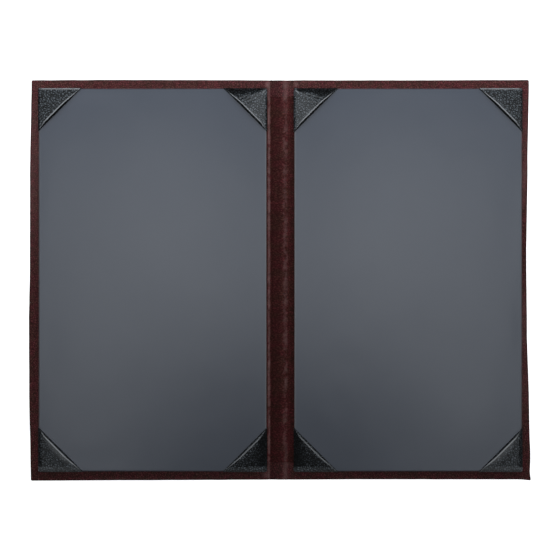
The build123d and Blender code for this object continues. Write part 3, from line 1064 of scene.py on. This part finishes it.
def wrinkle(pull, x, y, seed):
    """A pocket's wrinkles, each a ridge with a valley beside it, running from the mouth."""
    across = x / MM - 18
    along = y / MM + 0.7 * waver(x, y, 7 * MM, seed)
    # A ridge's width in millimetres, and its valley's place beside it, in such widths
    ridge, valley = 0.65, 1.9
    total = 0.0
    for level, drop, rise in pull.wrinkles:
        off = (along - level - drop * across + 0.012 * across**2) / ridge
        total += rise * (math.exp(-(off**2)) - 0.9 * math.exp(-((off - valley) ** 2)))
    return total * smooth(-10, -3, across) * smooth(14, 8, across)


def lip_width(pocket, x, y):
    """The lip's width by a place: full but for its ends, where it is pulled round the liner."""
    taper = pocket.end_taper if y < x else pocket.side_taper
    return pocket.fold * (0.3 + 0.7 * smooth(0, taper, min(x, y)))


def hem_points(pocket, base, slope, leg, pull):
    """The mouth's fold and the hem under it, on from the end of one row."""
    fold_turns = (5, 10, 17, 28, 45, 68, 95, 130, 180)
    hem_shares = (0.25, 0.6, 1.0)
    if slope is None:
        return [None] * (len(fold_turns) + len(hem_shares))
    inward, upward = slope
    along = Vector((leg[0], leg[1], 0)) / math.sqrt(2)
    climb_way = Vector((leg[1] * inward, leg[0] * inward, upward)) / math.sqrt(2)
    out = along + climb_way
    normal = Vector((-leg[1] * upward, -leg[0] * upward, inward))
    x, y = base[:2]
    start = Vector(base[:3])
    turn = pocket.top_highlight_turn if pull.end == "top" else pocket.foot_highlight_turn
    bend = pocket.lip * (0.6 + 0.4 * inward)
    points = []
    for degrees in fold_turns:
        angle = math.radians(degrees)
        swung = out * lip_width(pocket, x, y) * math.sin(angle)
        at = start + swung - normal * bend * (1 - math.cos(angle))
        # A painted highlight on the lip's crest, then painted shade round its outer side
        worn = pull.shine * along_mouth(x, y) * smooth(turn, turn / 3, angle)
        worn -= pull.shade * smooth(turn / 1.5, turn * 1.55, angle)
        points.append((at.x, at.y, at.z, worn))
    # Near a side the hem is trimmed, so that it stays inside the fold round the liner
    room = (min(x, y) + pocket.loose - 2.2 * pocket.sheet) * math.sqrt(2)
    reach = min(pocket.hem, max(room, 0.35 * MM))
    # The hem under the lip is painted dark, as shade
    for share in hem_shares:
        at = start - out * reach * share - normal * bend * 2
        points.append((at.x, at.y, at.z, -1.0))
    return points


def make_pocket(pocket, side, pull, seed):
    """One corner pocket, folded round its liner's corner."""
    low, high = facing_box(side)
    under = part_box(f"{side}_pocket_{pull.end}_{pull.place}")[0].z
    at_right = SIDES[side] * PLACES[pull.place] > 0
    at_head = pull.end == "top"
    corner = (high.x if at_right else low.x, high.y if at_head else low.y)
    ways = (-1 if at_right else 1, -1 if at_head else 1)
    placed = []
    for row in pocket_rings(pocket, (high.z + pocket.over, under), pull, seed):
        line = []
        for point in row:
            if point is not None:
                x, y, z, worn = point
                point = (corner[0] + ways[0] * x, corner[1] + ways[1] * y, z, worn)
            line.append(point)
        placed.append(line)
    return make_skin(f"{side}_{pull.end}_{pull.place}_pocket", [placed], pocket.sheet)


class MENUCOVER_OT_pockets(bpy.types.Operator):
    """Fold a black leatherette pocket round each corner of both liners"""

    bl_idname = "menu_cover.pockets"
    bl_label = "Corner pockets"

    def execute(self, context):
        pocket = context.scene.menu_cover_pocket
        for number, (side, pull) in enumerate(PULLS):
            piece = make_pocket(pocket, side, pull, 30.0 + 7 * number)
            piece.data.materials.append(finish("black_pebbled_leathercloth"))
            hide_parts(f"{side}_pocket_{pull.end}_{pull.place}")
            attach(piece, f"{side}_leaf")
        return {"FINISHED"}


def make_board(case, node, name, body, way):
    """A board, cut down so that it stays inside the leatherette where that bows inwards.

    Only the cover boards have a side to cut, on the left (-1) or on the right (1)."""
    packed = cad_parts[node]
    low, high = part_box(node)
    work = bmesh.new()
    work.from_mesh(packed.data)
    bmesh.ops.transform(work, matrix=packed.matrix_world, verts=work.verts)
    bmesh.ops.remove_doubles(work, verts=work.verts, dist=WELD)
    kept = 1 - abs(way) * case.side_trim / (high.x - low.x)
    inner = low.x if way > 0 else high.x
    for vertex in work.verts:
        vertex.co.x = inner + (vertex.co.x - inner) * kept
        vertex.co.y *= 1 - case.end_trim / high.y
    board = shown_piece(name, work)
    board.data.materials.append(finish("greyboard"))
    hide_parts(node)
    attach(board, body)


class MENUCOVER_OT_boards(bpy.types.Operator):
    """Give the greyboards and the liner cards their raw pulp finish"""

    bl_idname = "menu_cover.boards"
    bl_label = "Boards and cards"

    def execute(self, context):
        case = context.scene.menu_cover_case
        make_board(case, "spine_board", "middle_board", "spine", 0)
        for side, way in SIDES.items():
            make_board(case, f"{side}_cover_board", f"{side}_board", f"{side}_leaf", way)
            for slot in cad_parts[f"{side}_liner_card"].material_slots:
                slot.material = finish("pulp_card")
        return {"FINISHED"}


# Each lamp: its place, the place it points at, its width and height, all in metres, how far it
# is turned about its own axis, in degrees, and its power in watts
LAMPS = {
    "left_soft_box": ((-0.44, -0.04, 2.6), (-0.44, -0.04, 0.0), (0.14, 0.8), 6.5, 5.8),
    "left_inner_soft_box": ((-0.19, 0.12, 2.6), (-0.19, 0.12, 0.0), (0.14, 0.5), 9.5, 4.4),
    "right_inner_soft_box": ((0.19, 0.12, 2.6), (0.19, 0.12, 0.0), (0.14, 0.5), -9.5, 4.4),
    "right_soft_box": ((0.44, -0.04, 2.6), (0.44, -0.04, 0.0), (0.14, 0.8), -6.5, 5.7),
    "head_lamp": ((0.0, 0.36, 0.16), (0.0, 0.0, 0.02), (1.4, 0.2), 0.0, 3.75),
    "right_lamp": ((0.7, 0.0, 0.16), (0.0, 0.0, 0.0), (0.3, 0.4), 0.0, 0.45),
}


def stage_floor(sizes):
    """A pale floor, with a wall far round it, that looks white and keeps the shadow.

    It lies below the cover, clear of a leaf that is folded back."""
    made, tree = material_tree("pale_table")
    rays = add(tree, "ShaderNodeLightPath").node.outputs
    seen = {0: rays["Is Camera Ray"], 1: rays["Is Glossy Ray"]}
    seen = add(tree, "ShaderNodeMath", seen, operation="ADD", use_clamp=True)
    shown = {0: seen, 1: rays["Is Transmission Ray"]}
    shown = add(tree, "ShaderNodeMath", shown, operation="ADD", use_clamp=True)
    pale = add(tree, "ShaderNodeBsdfDiffuse", {"Color": (*sizes.floor, 1)})
    glow = add(tree, "ShaderNodeEmission", {"Strength": sizes.glow})
    lit = add(tree, "ShaderNodeAddShader", {0: pale, 1: glow})
    both = add(tree, "ShaderNodeMixShader", {0: shown, 1: pale, 2: lit})
    add(tree, "ShaderNodeOutputMaterial", {"Surface": both})
    work = bmesh.new()
    sides, reach = 72, sizes.floor_reach
    rim = []
    for k in range(sides):
        angle = math.tau * k / sides
        place = (reach * math.cos(angle), reach * math.sin(angle), -sizes.floor_drop)
        rim.append(work.verts.new(place))
    disc = work.faces.new(rim)
    raised = bmesh.ops.extrude_edge_only(work, edges=disc.edges[:])["geom"]
    raised = [item for item in raised if isinstance(item, bmesh.types.BMVert)]
    bmesh.ops.translate(work, verts=raised, vec=(0, 0, sizes.wall))
    floor = shown_piece("table_top", work)
    floor.data.materials.append(made)


class MENUCOVER_OT_stage(bpy.types.Operator):
    """Set the floor, the room, the lamps and the camera straight above the cover"""

    bl_idname = "menu_cover.stage"
    bl_label = "Stage"

    def execute(self, context):
        scene = context.scene
        sizes = scene.menu_cover_stage
        stage_floor(sizes)
        world = bpy.data.worlds.new("room")
        world.use_nodes = True
        scene.world = world
        tree = world.node_tree
        tree.nodes.clear()
        room = add(tree, "ShaderNodeBackground", {"Strength": sizes.ambient})
        add(tree, "ShaderNodeOutputWorld", {"Surface": room})
        for name, (place, aim, size, turn, power) in LAMPS.items():
            data = bpy.data.lights.new(f"{name}_lamp", "AREA")
            data.shape = "RECTANGLE"
            data.size, data.size_y = size
            data.energy = power
            data.color = sizes.lamp
            lamp = bpy.data.objects.new(f"{name}_lamp", data)
            scene.collection.objects.link(lamp)
            lamp.location = place
            way = Vector(aim) - Vector(place)
            pointed = way.to_track_quat("-Z", "Y") @ Quaternion((0, 0, 1), math.radians(turn))
            lamp.rotation_euler = pointed.to_euler()
            lamp.visible_camera = False
            # Mirrored in the satin liners, this low lamp would turn them white from the foot
            lamp.visible_glossy = name != "head_lamp"
        data = bpy.data.cameras.new("camera")
        data.lens = data.sensor_width * sizes.height / sizes.width
        camera = bpy.data.objects.new("camera", data)
        scene.collection.objects.link(camera)
        camera.location = (sizes.right, sizes.up, sizes.height)
        scene.camera = camera
        scene.view_settings.view_transform = "Standard"
        return {"FINISHED"}


class MENUCOVER_PT_sidebar(bpy.types.Panel):
    """Lists the menu cover's pieces and their sizes"""

    bl_idname = "MENUCOVER_PT_sidebar"
    bl_label = "Menu Cover"
    bl_space_type = "VIEW_3D"
    bl_region_type = "UI"
    bl_category = "Menu Cover"

    def draw(self, context):
        for operator in OPERATORS:
            self.layout.operator(operator.bl_idname)
        for name, group in GROUPS.items():
            box = self.layout.box()
            box.label(text=group.__doc__)
            for size in group.__annotations__:
                box.prop(getattr(context.scene, name), size)


GROUPS = {
    "menu_cover_case": CaseSizes,
    "menu_cover_lining": LiningSizes,
    "menu_cover_liner": LinerSizes,
    "menu_cover_pocket": PocketSizes,
    "menu_cover_finishes": Finishes,
    "menu_cover_stage": StageSizes,
}
OPERATORS = (
    MENUCOVER_OT_stage,
    MENUCOVER_OT_boards,
    MENUCOVER_OT_case,
    MENUCOVER_OT_lining,
    MENUCOVER_OT_liners,
    MENUCOVER_OT_pockets,
)


def register():
    for kind in (*GROUPS.values(), *OPERATORS, MENUCOVER_PT_sidebar):
        bpy.utils.register_class(kind)
    for name, group in GROUPS.items():
        setattr(bpy.types.Scene, name, PointerProperty(type=group))


def unregister():
    for name in GROUPS:
        delattr(bpy.types.Scene, name)
    for kind in (*GROUPS.values(), *OPERATORS, MENUCOVER_PT_sidebar):
        bpy.utils.unregister_class(kind)


def main():
    register()
    for operator in OPERATORS:
        group, name = operator.bl_idname.split(".")
        getattr(getattr(bpy.ops, group), name)()


if __name__ == "__main__":
    main()
